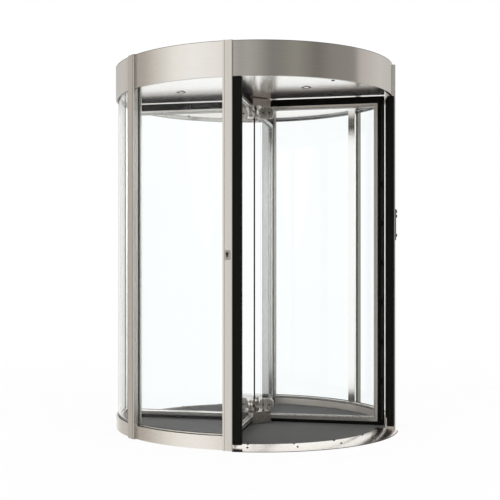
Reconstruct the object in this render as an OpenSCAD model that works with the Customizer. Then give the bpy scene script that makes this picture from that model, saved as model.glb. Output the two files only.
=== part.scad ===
// Four-wing revolving door, free standing: six posts carry a round canopy, curved glass walls close
// the left and right sides, and four glazed wings turn together on a pivot in the middle.
// Millimetres, +Z up. The origin is on the floor, on the pivot's axis.
// Azimuths are degrees round +Z: 0 is the front, towards -Y, and 90 is the right, towards +X.

/* [Drum] */
// Clear diameter inside the curved glass walls
drum_d = 1800; // [1600:10:2400]
// Height of the ceiling above the floor
ceiling_z = 2210; // [2000:10:2800]
// Angle of each of the two openings
opening_angle = 90; // [84:1:94]
// Thickness of the curved glass walls
wall_glass_t = 10; // [6:1:14]
// How deep the wall glass sits in its posts and base rails
wall_bite = 15; // [8:1:20]
// Space on each face of a glass pane for its gasket
gasket_t = 2; // [1:0.5:3]

/* [Posts] */
// Width of the posts beside the openings
post_w = 60; // [50:1:80]
// Width of the posts in the middle of the walls
mid_post_w = 72; // [50:1:100]
// How far the posts and base rails stand in from the glass
post_in = 16; // [10:1:30]
// How far the posts stand out from the fascia
post_proud = 17; // [5:1:30]
// Radius of the posts' long corners
post_corner = 3; // [1:0.5:6]

/* [Canopy] */
// Height of the fascia
fascia_h = 210; // [120:5:400]
// How far the fascia stands out from the glass
fascia_out = 20; // [14:1:40]
// Thickness of the fascia sheet
fascia_t = 3; // [1.5:0.5:6]
// How far the fascia hangs below the ceiling
fascia_lip = 15; // [8:1:30]
// Thickness of the ceiling
ceiling_t = 8; // [4:1:20]
// Thickness of the canopy's top cover
cover_t = 6; // [3:1:12]
// How far the top cover lies below the fascia's top edge
cover_drop = 6; // [2:1:20]

/* [Base] */
// Height of the base rails under the wall glass
rail_h = 82; // [60:1:150]
// How far the base rails stand out from the glass
rail_out = 16; // [8:1:20]
// How far the threshold ramps reach out past the posts
ramp_reach = 18; // [5:1:60]
// Width of the threshold ramps, from the inside to the outside
ramp_w = 137; // [100:1:200]
// Height of the threshold ramps at the mat
ramp_h = 23; // [18:1:30]
// Height of the ramps' outer edge
ramp_nose = 2; // [1:0.5:4]
// Thickness of the floor plate under the mat
floor_plate_t = 15; // [10:1:17]
// How far the mat stands up from the ramps
mat_proud = 1; // [0:0.5:3]

/* [Safety edges] */
// Width of the rubber edges beside each opening
edge_w = 52; // [35:1:80]
// How far the rubber stays back from the outside of the posts
edge_back = 6; // [2:1:12]
// How far the carriers stay back from the inside of the posts
edge_in = 3; // [3:0.5:8]
// Radius of the rubber's corners towards the opening
edge_corner = 8; // [2:0.5:12]
// Thickness of the metal carrier behind the rubber
carrier_t = 8; // [4:1:12]
// How far the rubber runs on below the carrier
carrier_foot = 55; // [20:1:120]
// How far the rubber runs on above the carrier
carrier_head = 10; // [0:1:40]
// How far the rubber's nose passes the carrier
edge_nose = 8; // [4:1:12]
// Space under the edges
edge_foot = 36; // [30:1:80]
// Space over the edges
edge_head = 20; // [10:1:60]

/* [Wings] */
// Running gap between the wings and the posts
wing_gap = 7; // [5:0.5:15]
// Running gap between the wings and the ceiling
head_gap = 9; // [8:0.5:15]
// Running gap between the wings and the mat
foot_gap = 13; // [6:0.5:20]
// Width of the black seals at the side and the top of a wing
seal_w = 41.5; // [30:0.5:60]
// Height of the black seal under a wing
seal_foot = 15; // [8:1:30]
// Thickness of the seals
seal_t = 20; // [14:1:30]
// Radius of the seals' long edges
seal_corner = 2; // [1:0.5:3.5]
// Width of a wing's outer stile
stile_w = 27; // [22:1:60]
// Height of a wing's top rail
head_rail_h = 26; // [20:1:60]
// Height of a wing's bottom rail
foot_rail_h = 33; // [20:1:50]
// Thickness of a wing's frame
frame_t = 36; // [28:1:37]
// Radius of the frame's long edges
frame_corner = 5; // [1:0.5:8]
// Thickness of the wing glass
wing_glass_t = 10; // [6:1:12]
// How deep the wing glass sits in its frame
wing_bite = 10; // [6:1:14]
// Distance of the glass from the pivot's axis
wing_glass_r = 51; // [45:1:70]

/* [Hubs] */
// Width of the square hub blocks
hub_w = 200; // [160:1:240]
// Width of the flat on each hub corner, where a wing joins
hub_flat_w = 38; // [38:1:60]
// Height of the lower hub
foot_hub_h = 74; // [66:1:120]
// Height of the upper hub
head_hub_h = 47; // [40:1:80]
// Running gap over the upper hub and under the lower one
hub_gap = 5; // [5:0.5:10]
// Diameter of the pivot shaft
pivot_d = 80; // [50:1:100]
// Running gap round the pivot shaft
pivot_gap = 0.3; // [0.2:0.1:0.5]
// Length of the shaft inside the canopy
shaft_in = 60; // [30:1:90]
// Metal left under the pivot in the floor plate
pivot_seat = 5; // [3:0.5:8]

/* [Patch fittings] */
// Width of the clamping plates on the wing glass
patch_w = 95; // [80:1:140]
// Height of the clamping plates
patch_h = 80; // [70:1:140]
// Thickness of one clamping plate
patch_t = 12; // [8:1:16]
// Distance of the plates from the pivot's axis
patch_r = 45; // [36:1:56]
// Radius of the plates' corners
patch_corner = 30; // [4:1:34]

/* [Lights and switches] */
// Distance of the downlights from the pivot's axis
light_r = 572; // [300:1:700]
// Diameter of a downlight's rim
light_d = 67; // [60:1:90]
// Diameter of a downlight's body
light_body_d = 56; // [40:1:58]
// How far lights and sensors stand out below the ceiling
light_proud = 2.5; // [1:0.5:3]
// Diameter of the sensors over the openings
sensor_d = 22; // [12:1:30]
// Distance of the sensors' middles from the inside of the fascia
sensor_inset = 99; // [30:1:200]
// Width of the key switch plate
key_w = 36; // [30:1:44]
// Height of the key switch plate
key_h = 57; // [50:1:90]
// Height of the key switch's middle above the floor
key_z = 1146; // [800:1:1400]
// Width of the control plate
control_w = 44; // [30:1:46]
// Height of the control plate
control_h = 204; // [180:1:300]
// Height of the control plate's middle above the floor
control_z = 1355; // [1000:1:1500]
// Thickness of the key switch and control plates
plate_t = 6.5; // [3:0.5:8]
// Diameter of the control plate's buttons
button_d = 20; // [12:1:24]
// How far keys and buttons stand out from their plates
button_proud = 6; // [3:0.5:8]

/* [Hidden] */
$fn = 180;

// Gap where curved or slanting faces of two fixed pieces meet
seam = 0.3;
// How far a cutting shape runs past what it cuts
over = 1;

// Azimuths of the posts, the walls' middles and the wings
front_left = -opening_angle / 2;
front_right = opening_angle / 2;
back_right = 180 - opening_angle / 2;
back_left = 180 + opening_angle / 2;
right_mid = 90;
left_mid = 270;
// The front left post again, one turn on, where the left wall ends
left_end = front_left + 360;
wing_azimuths = [-45, 45, 135, 225];

// Radii of the drum, from the inside out
glass_r = drum_d / 2;
glass_out_r = glass_r + wall_glass_t;
post_in_r = glass_r - post_in;
rail_r = glass_out_r + rail_out;
fascia_r = glass_out_r + fascia_out;
post_out_r = fascia_r + post_proud;
ramp_r = post_out_r + ramp_reach;
ramp_in_r = ramp_r - ramp_w;
edge_out_r = post_out_r - edge_back;
edge_in_r = post_in_r + edge_in + carrier_t;
disc_r = fascia_r - fascia_t - seam;
sensor_r = fascia_r - fascia_t - sensor_inset;

// Heights of the drum
wall_glass_z = rail_h - wall_bite;
fascia_z = ceiling_z - fascia_lip;
top_z = fascia_z + fascia_h;
mat_z = ramp_h + mat_proud;
edge_h = ceiling_z - edge_head - edge_foot;

// Outlines of a wing: its seal, its frame and its glass
seal_r = post_in_r - wing_gap;
seal_z = mat_z + foot_gap;
seal_top_z = ceiling_z - head_gap;
frame_r = seal_r - seal_w;
frame_z = seal_z + seal_foot;
frame_top_z = seal_top_z - seal_w;
glass_edge_r = frame_r - stile_w + wing_bite;
glass_foot_z = frame_z + foot_rail_h - wing_bite;
glass_head_z = frame_top_z - head_rail_h + wing_bite;

// Hubs and the plates that clamp the glass to them
foot_hub_z = mat_z + hub_gap;
foot_hub_top_z = foot_hub_z + foot_hub_h;
head_hub_top_z = ceiling_z - hub_gap;
head_hub_z = head_hub_top_z - head_hub_h;
hub_flat_r = hub_w / sqrt(2) - hub_flat_w / 2;
patch_out_r = patch_r + patch_w;

steel = [0.80, 0.78, 0.75];
bright_steel = [0.88, 0.87, 0.85];
black_rubber = [0.09, 0.09, 0.085];
clear_glass = [0.90, 0.97, 0.98, 0.35];
mat_grey = [0.27, 0.27, 0.28];

// A ring or part of one, from azimuth a0 to a1
module ring(r0, r1, z0, z1, a0, a1) {
    rotate([0, 0, a0 - 90])
        rotate_extrude(angle = a1 - a0)
            translate([r0, z0]) square([r1 - r0, z1 - z0]);
}

// A straight block across azimuth a
module block(a, w, r0, r1, z0, z1) {
    rotate([0, 0, a]) translate([-w / 2, -r1, z0]) cube([w, r1 - r0, z1 - z0]);
}

// A flat outline with round corners, with its middle at the origin
module round_outline(w, h, r) {
    square([w - 2 * r, h], center = true);
    square([w, h - 2 * r], center = true);
    for (x = [-1, 1], y = [-1, 1])
        translate([x * (w / 2 - r), y * (h / 2 - r)]) circle(r);
}

// Half the angle that a post of width w takes at radius r
function half_angle(w, r) = asin(w / 2 / r);

// Posts

// An extruded post, flat outside and inside, standing at azimuth a
module post_body(a, w) {
    depth = post_out_r - post_in_r;
    rotate([0, 0, a])
        translate([0, -post_in_r - depth / 2, 0])
            linear_extrude(top_z) round_outline(w, depth, post_corner);
}

// The groove for wall glass in a post of width w, on the side where azimuths grow or shrink
module glass_groove(a, w, side) {
    start = half_angle(w - 2 * (wall_bite + gasket_t), glass_r);
    reach = half_angle(w + 2 * wall_bite, glass_r);
    mirror_to(side, a)
        ring(glass_r - gasket_t, glass_out_r + gasket_t, wall_glass_z, ceiling_z, start, reach);
}

// Turns a shape made for azimuth 0 to azimuth a, mirrored where side is -1
module mirror_to(side, a) {
    rotate([0, 0, a]) mirror([side < 0 ? 1 : 0, 0, 0]) children();
}

module opening_post(a, wall_side) {
    color(steel)
        difference() {
            post_body(a, post_w);
            glass_groove(a, post_w, wall_side);
        }
}

module mid_post(a) {
    color(steel)
        difference() {
            post_body(a, mid_post_w);
            glass_groove(a, mid_post_w, 1);
            glass_groove(a, mid_post_w, -1);
        }
}

// The room that the posts take, with a seam all round, from radius r0 outwards
module post_room(r0, z0, z1) {
    for (a = [front_left, front_right, back_right, back_left])
        block(a, post_w + 2 * seam, r0, ramp_r + over, z0, z1);
    for (a = [left_mid, right_mid])
        block(a, mid_post_w + 2 * seam, r0, ramp_r + over, z0, z1);
}

// Safety edges

// The rubber edge has two round corners towards the opening
module safety_edge(a, side) {
    depth = edge_out_r - edge_in_r;
    mirror_to(side, a)
        translate([post_w / 2, -edge_out_r, edge_foot])
            linear_extrude(edge_h) {
                square([edge_w - edge_corner, depth]);
                translate([0, edge_corner]) square([edge_w, depth - 2 * edge_corner]);
                for (y = [edge_corner, depth - edge_corner])
                    translate([edge_w - edge_corner, y]) circle(edge_corner);
            }
}

// The carrier is a flat bar between the rubber and the inside of the drum
module edge_carrier(a, side) {
    mirror_to(side, a)
        translate([post_w / 2, -edge_in_r, edge_foot + carrier_foot])
            cube([edge_w - edge_nose, carrier_t, edge_h - carrier_foot - carrier_head]);
}

module front_safety_edges() {
    color(black_rubber) {
        safety_edge(front_left, 1);
        safety_edge(front_right, -1);
    }
}

module back_safety_edges() {
    color(black_rubber) {
        safety_edge(back_right, 1);
        safety_edge(back_left, -1);
    }
}

module front_edge_carriers() {
    color(steel) {
        edge_carrier(front_left, 1);
        edge_carrier(front_right, -1);
    }
}

module back_edge_carriers() {
    color(steel) {
        edge_carrier(back_right, 1);
        edge_carrier(back_left, -1);
    }
}

// Walls

// One curved pane between two posts of widths w0 and w1
module wall_pane(a0, w0, a1, w1) {
    start = a0 + half_angle(w0 - 2 * wall_bite, glass_r);
    stop = a1 - half_angle(w1 - 2 * wall_bite, glass_r);
    color(clear_glass) ring(glass_r, glass_out_r, wall_glass_z, ceiling_z, start, stop);
}

// The base rails of one wall, with the groove that holds the glass
module base_rails(a0, a1) {
    color(steel)
        difference() {
            ring(post_in_r, rail_r, 0, rail_h, a0, a1);
            ring(glass_r - gasket_t, glass_out_r + gasket_t, wall_glass_z, rail_h + over,
                a0 - over, a1 + over);
            post_room(0, -over, rail_h + over);
        }
}

// Canopy

module fascia(a0, a1) {
    color(steel)
        difference() {
            ring(fascia_r - fascia_t, fascia_r, fascia_z, top_z, a0, a1);
            post_room(post_in_r - over, fascia_z - over, top_z + over);
        }
}

module downlight_places() {
    for (a = [0:90:270])
        rotate([0, 0, a]) translate([0, -light_r, ceiling_z]) children();
}

module ceiling() {
    color(bright_steel)
        difference() {
            translate([0, 0, ceiling_z]) cylinder(r = disc_r, h = ceiling_t);
            post_room(post_in_r - seam, ceiling_z - over, ceiling_z + ceiling_t + over);
            translate([0, 0, ceiling_z - over])
                cylinder(d = pivot_d + 2 * pivot_gap, h = ceiling_t + 2 * over);
            downlight_places()
                translate([0, 0, -over]) cylinder(d = light_body_d + 2 * seam, h = ceiling_t + 2 * over);
        }
}

module top_cover() {
    cover_z = top_z - cover_drop - cover_t;
    color(steel)
        difference() {
            translate([0, 0, cover_z]) cylinder(r = disc_r, h = cover_t);
            post_room(post_in_r - seam, cover_z - over, cover_z + cover_t + over);
        }
}

// A downlight: a bevelled rim under the ceiling and a body with a hollow lamp mouth
module downlights() {
    mouth_d = light_body_d - 8;
    mouth_depth = ceiling_t / 2;
    color(bright_steel)
        downlight_places()
            difference() {
                union() {
                    translate([0, 0, -light_proud])
                        cylinder(d1 = light_d - 2 * light_proud, d2 = light_d, h = light_proud);
                    cylinder(d = light_body_d, h = 2 * ceiling_t);
                }
                translate([0, 0, -light_proud - over])
                    cylinder(d = mouth_d, h = light_proud + over + mouth_depth);
            }
}

module sensors() {
    color(black_rubber)
        for (a = [0, 180])
            rotate([0, 0, a])
                translate([0, -sensor_r, ceiling_z - light_proud])
                    cylinder(d1 = sensor_d - 2 * light_proud, d2 = sensor_d, h = light_proud);
}

// Floor

// The room of both threshold ramps between the posts, from radius r0 outwards
module ramp_room(r0, z0, z1) {
    difference() {
        union() {
            ring(r0, ramp_r + over, z0, z1, front_left, front_right);
            ring(r0, ramp_r + over, z0, z1, back_right, back_left);
        }
        post_room(0, z0 - over, z1 + over);
    }
}

// A layer of the floor: it reaches the ramps at the openings and the base rails at the walls
module floor_layer(z0, z1, hole_d) {
    difference() {
        translate([0, 0, z0]) cylinder(r = post_in_r - seam, h = z1 - z0);
        ramp_room(ramp_in_r - seam, z0 - over, z1 + over);
        translate([0, 0, max(z0, pivot_seat)]) cylinder(d = hole_d, h = z1);
    }
}

// A threshold ramp is level at the mat and falls in an arc to its outer edge
module threshold(a0, a1) {
    fall = ramp_h - ramp_nose;
    arc_r = (ramp_w * ramp_w + fall * fall) / (2 * fall);
    color(bright_steel)
        difference() {
            rotate([0, 0, a0 - 90])
                rotate_extrude(angle = a1 - a0)
                    intersection() {
                        translate([ramp_in_r, 0]) square([ramp_w, ramp_h]);
                        translate([ramp_in_r, ramp_h - arc_r]) circle(arc_r);
                    }
            post_room(0, -over, ramp_h + over);
        }
}

module floor_plate() {
    color(steel) floor_layer(0, floor_plate_t, pivot_d + 2 * pivot_gap);
}

module floor_mat() {
    color(mat_grey) floor_layer(floor_plate_t, mat_z, pivot_d + 2 * gasket_t);
}

// Switches on the front posts

// Lays a shape drawn flat, with its back on z = 0, on the outside of a post
module on_post(a, z) {
    rotate([0, 0, a]) translate([0, -post_out_r, z]) rotate([90, 0, 0]) children();
}

module key_switch() {
    lock_d = 17;
    lock_w = 10;
    lock_h = 33;
    color(bright_steel)
        on_post(front_left, key_z) {
            linear_extrude(plate_t) round_outline(key_w, key_h, post_corner);
            linear_extrude(plate_t + button_proud) {
                translate([0, (lock_h - lock_d) / 2]) circle(d = lock_d);
                translate([-lock_w / 2, -lock_h / 2 + lock_w / 2])
                    square([lock_w, lock_h - (lock_d + lock_w) / 2]);
                translate([0, -lock_h / 2 + lock_w / 2]) circle(d = lock_w);
            }
        }
}

module control_plate() {
    end_inset = 31;
    pair_pitch = 31;
    color(bright_steel)
        on_post(front_right, control_z) {
            linear_extrude(plate_t) round_outline(control_w, control_h, post_corner);
            for (y = [-control_h / 2 + end_inset, control_h / 2 - end_inset - pair_pitch / 2,
                control_h / 2 - end_inset + pair_pitch / 2])
                translate([0, y, 0]) cylinder(d = button_d, h = plate_t + button_proud);
        }
}

// Hubs and pivot

// A square block with a flat on each corner
module hub_block(z0, z1) {
    intersection() {
        translate([-hub_w / 2, -hub_w / 2, z0]) cube([hub_w, hub_w, z1 - z0]);
        rotate([0, 0, 45])
            translate([-hub_flat_r, -hub_flat_r, z0]) cube([2 * hub_flat_r, 2 * hub_flat_r, z1 - z0]);
    }
}

module upper_hub() {
    color(steel) {
        hub_block(head_hub_z, head_hub_top_z);
        translate([0, 0, head_hub_z])
            cylinder(d = pivot_d, h = ceiling_z + ceiling_t + shaft_in - head_hub_z);
    }
}

module lower_hub() {
    pivot_z = pivot_seat + pivot_gap;
    color(steel) {
        hub_block(foot_hub_z, foot_hub_top_z);
        translate([0, 0, pivot_z]) cylinder(d = pivot_d, h = foot_hub_top_z - pivot_z);
    }
}

// Wings

// A flat shape of thickness t, drawn as radius across and height up, standing at azimuth a
module standing(a, t) {
    rotate([0, 0, a])
        rotate([90, 0, -90])
            translate([0, 0, -t / 2]) linear_extrude(t) children();
}

// A bar with round long edges, standing up or lying along the radius
module round_bar(t, corner, r0, r1, z0, z1, upright) {
    if (upright)
        translate([0, -(r0 + r1) / 2, z0]) linear_extrude(z1 - z0) round_outline(t, r1 - r0, corner);
    else
        translate([0, -r0, (z0 + z1) / 2])
            rotate([90, 0, 0]) linear_extrude(r1 - r0) round_outline(t, z1 - z0, corner);
}

// The three bars round the outside of a wing, mitred where they meet. The outline is given by its
// outer edge r1, z0 and z1, and by the widths of its side, foot and head.
module mitred_bars(a, t, corner, r_foot, r_head, r1, z0, z1, side, foot, head) {
    rotate([0, 0, a]) {
        intersection() {
            round_bar(t, corner, r_foot, r1, z0, z0 + foot, false);
            standing(0, t)
                polygon([[r_foot, z0], [r1, z0], [r1 - side, z0 + foot], [r_foot, z0 + foot]]);
        }
        intersection() {
            round_bar(t, corner, r1 - side, r1, z0, z1, true);
            standing(0, t)
                polygon([[r1, z0 + seam], [r1, z1 - seam], [r1 - side, z1 - head - seam],
                    [r1 - side, z0 + foot + seam]]);
        }
        intersection() {
            round_bar(t, corner, r_head, r1, z1 - head, z1, false);
            standing(0, t)
                polygon([[r_head, z1 - head], [r1 - side, z1 - head], [r1, z1], [r_head, z1]]);
        }
    }
}

module wing_seals(a) {
    color(black_rubber)
        mitred_bars(a, seal_t, seal_corner, hub_flat_r + seam, hub_flat_r + seam, seal_r, seal_z,
            seal_top_z, seal_w, seal_foot, seal_w);
}

module wing_frame(a) {
    color(steel)
        difference() {
            mitred_bars(a, frame_t, frame_corner, hub_flat_r + seam,
                max(hub_flat_r, patch_out_r) + seam, frame_r, frame_z, frame_top_z, stile_w,
                foot_rail_h, head_rail_h);
            standing(a, wing_glass_t + 2 * gasket_t)
                translate([0, glass_foot_z - gasket_t])
                    square([glass_edge_r + gasket_t, glass_head_z - glass_foot_z + 2 * gasket_t]);
        }
}

// The glass stands on the hub at its inner edge and in the frame everywhere else
module wing_glass(a) {
    notch_r = hub_flat_r + gasket_t;
    color(clear_glass)
        standing(a, wing_glass_t)
            polygon([[wing_glass_r, foot_hub_top_z], [notch_r, foot_hub_top_z],
                [notch_r, glass_foot_z], [glass_edge_r, glass_foot_z],
                [glass_edge_r, glass_head_z], [wing_glass_r, glass_head_z]]);
}

// The pair of plates that clamp one wing's glass, with their middle at height z
module patch_pair(a, z) {
    for (side = [-1, 1])
        rotate([0, 0, a])
            translate([side * (wing_glass_t + patch_t) / 2, 0, 0])
                standing(0, patch_t)
                    translate([patch_r + patch_w / 2, z]) round_outline(patch_w, patch_h, patch_corner);
}

module upper_patches() {
    color(steel)
        for (a = wing_azimuths) patch_pair(a, head_hub_z - patch_h / 2);
}

module lower_patches() {
    color(steel)
        for (a = wing_azimuths) patch_pair(a, foot_hub_top_z + patch_h / 2);
}

opening_post(front_left, -1);  // front_left_post
opening_post(front_right, 1);  // front_right_post
opening_post(back_right, -1);  // back_right_post
opening_post(back_left, 1);  // back_left_post
mid_post(left_mid);  // left_mid_post
mid_post(right_mid);  // right_mid_post
front_safety_edges();
back_safety_edges();
front_edge_carriers();
back_edge_carriers();
wall_pane(front_right, post_w, right_mid, mid_post_w);  // right_front_glass
wall_pane(right_mid, mid_post_w, back_right, post_w);  // right_back_glass
wall_pane(back_left, post_w, left_mid, mid_post_w);  // left_back_glass
wall_pane(left_mid, mid_post_w, left_end, post_w);  // left_front_glass
base_rails(front_right, back_right);  // right_base_rails
base_rails(back_left, left_end);  // left_base_rails
fascia(front_left, front_right);  // front_fascia
fascia(back_right, back_left);  // back_fascia
fascia(front_right, back_right);  // right_fascia
fascia(back_left, left_end);  // left_fascia
ceiling();
top_cover();
downlights();
sensors();
threshold(front_left, front_right);  // front_threshold
threshold(back_right, back_left);  // back_threshold
floor_plate();
floor_mat();
key_switch();
control_plate();
upper_hub();
lower_hub();
wing_glass(wing_azimuths[0]);  // wing_a_glass
wing_glass(wing_azimuths[1]);  // wing_b_glass
wing_glass(wing_azimuths[2]);  // wing_c_glass
wing_glass(wing_azimuths[3]);  // wing_d_glass
wing_frame(wing_azimuths[0]);  // wing_a_frame
wing_frame(wing_azimuths[1]);  // wing_b_frame
wing_frame(wing_azimuths[2]);  // wing_c_frame
wing_frame(wing_azimuths[3]);  // wing_d_frame
wing_seals(wing_azimuths[0]);  // wing_a_seals
wing_seals(wing_azimuths[1]);  // wing_b_seals
wing_seals(wing_azimuths[2]);  // wing_c_seals
wing_seals(wing_azimuths[3]);  // wing_d_seals
upper_patches();
lower_patches();
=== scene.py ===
# %% [markdown]
# # A four-wing revolving door in brushed steel and glass
# The construction comes ready made: posts, curved glass, canopy, wings and hubs are solids at their
# real size. This lesson gives every one of them a finish, and models the small things that make such
# a door look real: rubber gaskets, screws, bolts, lamp lenses, a keyhole and the brushes on the wings.
# All sizes are metres, +Z is up, and the pivot stands on the origin.

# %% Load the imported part
import math

import bmesh
import bpy
from mathutils import Matrix, Vector


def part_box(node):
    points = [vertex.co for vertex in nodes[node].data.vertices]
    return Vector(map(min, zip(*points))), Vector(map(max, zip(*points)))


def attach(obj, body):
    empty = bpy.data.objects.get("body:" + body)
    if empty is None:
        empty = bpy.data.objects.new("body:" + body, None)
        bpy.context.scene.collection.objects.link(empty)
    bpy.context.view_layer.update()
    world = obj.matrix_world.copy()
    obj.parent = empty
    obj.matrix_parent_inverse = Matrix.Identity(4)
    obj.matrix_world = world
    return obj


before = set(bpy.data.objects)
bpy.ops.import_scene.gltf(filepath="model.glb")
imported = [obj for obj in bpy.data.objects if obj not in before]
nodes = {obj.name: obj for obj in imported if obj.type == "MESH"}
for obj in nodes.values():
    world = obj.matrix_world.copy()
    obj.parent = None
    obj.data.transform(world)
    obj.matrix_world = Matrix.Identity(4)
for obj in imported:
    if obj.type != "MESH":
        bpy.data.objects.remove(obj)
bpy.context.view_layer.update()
scene = bpy.context.scene

# %% [markdown]
# ## The camera
# The picture was taken level, at about the height of a person's elbow, from left of the front. A level
# camera keeps the posts upright in the picture. Its axis passes the door a little low and to the left, and
# the lens shift brings the door back to the middle of the picture without turning the camera.

# %% Set the camera
CAMERA_AZIMUTH = -32.8
CAMERA_DISTANCE = 6.564
CAMERA_SIDESTEP = -0.3475
CAMERA_HEIGHT = 1.0824
SENSOR_W = 36.0
FOCAL_LENGTH = 69.47
SHIFT_X = 0.0958
SHIFT_Y = 0.0318


def at(azimuth, radius, z):
    """The point at an azimuth in degrees, 0 being the front and 90 the right, and at a radius."""
    a = math.radians(azimuth)
    return Vector((radius * math.sin(a), -radius * math.cos(a), z))


def facing(azimuth, radius=0.0, z=0.0):
    """The place for a shape that was modelled at the origin and looks along -Y."""
    return Matrix.Translation(at(azimuth, radius, z)) @ Matrix.Rotation(math.radians(azimuth), 4, "Z")


lens = bpy.data.cameras.new("camera")
lens.sensor_width = SENSOR_W
lens.lens = FOCAL_LENGTH
lens.shift_x = SHIFT_X
lens.shift_y = SHIFT_Y
camera = bpy.data.objects.new("camera", lens)
camera.location = facing(CAMERA_AZIMUTH) @ Vector((CAMERA_SIDESTEP, -CAMERA_DISTANCE, CAMERA_HEIGHT))
camera.rotation_euler = (math.radians(90), 0.0, math.radians(CAMERA_AZIMUTH))
scene.collection.objects.link(camera)
scene.camera = camera
print("camera at", tuple(round(c, 3) for c in camera.location))

# %% [markdown]
# ## The studio
# The door stands in a white studio. Brushed steel has little colour of its own: what we see on it is the
# room round it. So the world carries a picture of a room for mirror rays: a bright window on the left, a
# grey wall in front, a dark one beyond it, a lit one on the right and a second window at the back. Walls of
# real meshes would show behind the door, so the room is a colour ramp over the compass direction of the ray.

# %% Paint the studio's walls
STUDIO = (
    (-180, (0.62, 0.60, 0.58)),
    (-166, (0.66, 0.62, 0.58)),
    (-146, (0.42, 0.39, 0.36)),
    (-134, (0.49, 0.45, 0.41)),
    (-100, (0.97, 0.95, 0.90)),
    (-84, (1.00, 0.985, 0.965)),
    (-60.5, (0.94, 0.91, 0.87)),
    (-53, (0.62, 0.59, 0.55)),
    (-48, (0.32, 0.31, 0.295)),
    (-40, (0.44, 0.43, 0.40)),
    (-30, (0.34, 0.33, 0.31)),
    (-22, (0.22, 0.21, 0.20)),
    (-2, (0.31, 0.30, 0.26)),
    (16, (0.19, 0.18, 0.16)),
    (30, (0.28, 0.26, 0.24)),
    (54, (0.28, 0.27, 0.25)),
    (57, (0.54, 0.50, 0.47)),
    (88, (0.65, 0.63, 0.59)),
    (114, (0.55, 0.53, 0.51)),
    (126, (0.72, 0.70, 0.68)),
    (138, (1.00, 0.98, 0.96)),
    (168, (1.00, 0.98, 0.96)),
    (180, (0.62, 0.60, 0.58)),
)


def maths(tree, operation, *values):
    """Works out one number from some values, each a plain number or the output of a node."""
    made = tree.nodes.new("ShaderNodeMath")
    made.operation = operation
    for socket, value in zip(made.inputs, values):
        if isinstance(value, (int, float)):
            socket.default_value = value
        else:
            tree.links.new(value, socket)
    return made.outputs[0]


def spread(tree, value, low, high, to_low=0.0, to_high=1.0):
    """Spreads a value that runs from low to high over another range."""
    made = tree.nodes.new("ShaderNodeMapRange")
    made.inputs["From Min"].default_value = low
    made.inputs["From Max"].default_value = high
    made.inputs["To Min"].default_value = to_low
    made.inputs["To Max"].default_value = to_high
    tree.links.new(value, made.inputs["Value"])
    return made.outputs["Result"]


world = bpy.data.worlds.new("studio")
scene.world = world
world.use_nodes = True
sky = world.node_tree
direction = sky.nodes.new("ShaderNodeTexCoord")
split = sky.nodes.new("ShaderNodeSeparateXYZ")
sky.links.new(direction.outputs["Generated"], split.inputs[0])
ray_height = split.outputs["Z"]
bearing = maths(sky, "ARCTAN2", split.outputs["X"], maths(sky, "MULTIPLY", split.outputs["Y"], -1.0))
walls = sky.nodes.new("ShaderNodeValToRGB")
while len(walls.color_ramp.elements) < len(STUDIO):
    walls.color_ramp.elements.new(1.0)
for stop, (azimuth, colour) in zip(walls.color_ramp.elements, STUDIO):
    stop.position = (azimuth + 180) / 360
    stop.color = (*colour, 1.0)
sky.links.new(spread(sky, bearing, -math.pi, math.pi), walls.inputs["Fac"])
print("studio walls:", len(STUDIO))

# %% [markdown]
# At the back the room has two more things for the steel to mirror: a grey wall above the second window, and
# a dark doorway beside it, which makes the strip of the back ramp dark. Each is cut out of the picture by
# soft edges, in height and in azimuth. Then every kind of ray gets its own picture. What the camera sees
# behind the door, straight or through the glass, is plain white. Mirror rays see the room, and matt
# surfaces get a plain even level.

# %% Choose what each kind of ray sees
BACK_WALL = (0.58, 0.56, 0.54, 1.0)
BACK_WALL_FOOT = (0.150, 0.165)
BACK_WALL_SIDE = (146, 152)
DOORWAY = (0.05, 0.05, 0.05, 1.0)
DOORWAY_FOOT = (-0.13, -0.11)
DOORWAY_HEAD = (0.150, 0.140)
DOORWAY_SIDES = ((134, 137), (153, 151))
ROOM_LEVEL = 0.72
ROOM = (ROOM_LEVEL, ROOM_LEVEL, ROOM_LEVEL, 1.0)
WHITE = (1.0, 1.0, 1.0, 1.0)


def above(edge):
    """Runs from 0 to 1 over a soft edge between two heights."""
    return spread(sky, ray_height, *edge)


def beside(edge):
    """Runs from 0 to 1 over a soft edge between two azimuths."""
    return spread(sky, bearing, *(math.radians(azimuth) for azimuth in edge))


def ray_mix(fac, without, with_it):
    """Takes one colour for most rays and another for the rays that fac names."""
    mix = sky.nodes.new("ShaderNodeMix")
    mix.data_type = "RGBA"
    sky.links.new(fac, mix.inputs["Factor"])
    for socket, value in ((mix.inputs["A"], without), (mix.inputs["B"], with_it)):
        if isinstance(value, tuple):
            socket.default_value = value
        else:
            sky.links.new(value, socket)
    return mix.outputs["Result"]


upper_back = maths(sky, "MULTIPLY", above(BACK_WALL_FOOT), beside(BACK_WALL_SIDE))
doorway = maths(sky, "MULTIPLY", above(DOORWAY_FOOT), above(DOORWAY_HEAD))
for edge in DOORWAY_SIDES:
    doorway = maths(sky, "MULTIPLY", doorway, beside(edge))
path = sky.nodes.new("ShaderNodeLightPath")
mirrored = ray_mix(upper_back, walls.outputs["Color"], BACK_WALL)
mirrored = ray_mix(doorway, mirrored, DOORWAY)
shown = ray_mix(path.outputs["Is Glossy Ray"], ROOM, mirrored)
shown = ray_mix(path.outputs["Is Transmission Ray"], shown, WHITE)
shown = ray_mix(path.outputs["Is Camera Ray"], shown, WHITE)
sky.links.new(shown, sky.nodes["Background"].inputs["Color"])
scene.view_settings.view_transform = "Standard"
print("world nodes:", len(sky.nodes))

# %% [markdown]
# The floor is a wide white disc. Its shader is mostly its own white for the camera, so that it joins
# the background without a line, and partly a matt white that takes the door's shadow. Two soft lamps,
# as wide as windows, shape the matt surfaces.

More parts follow.
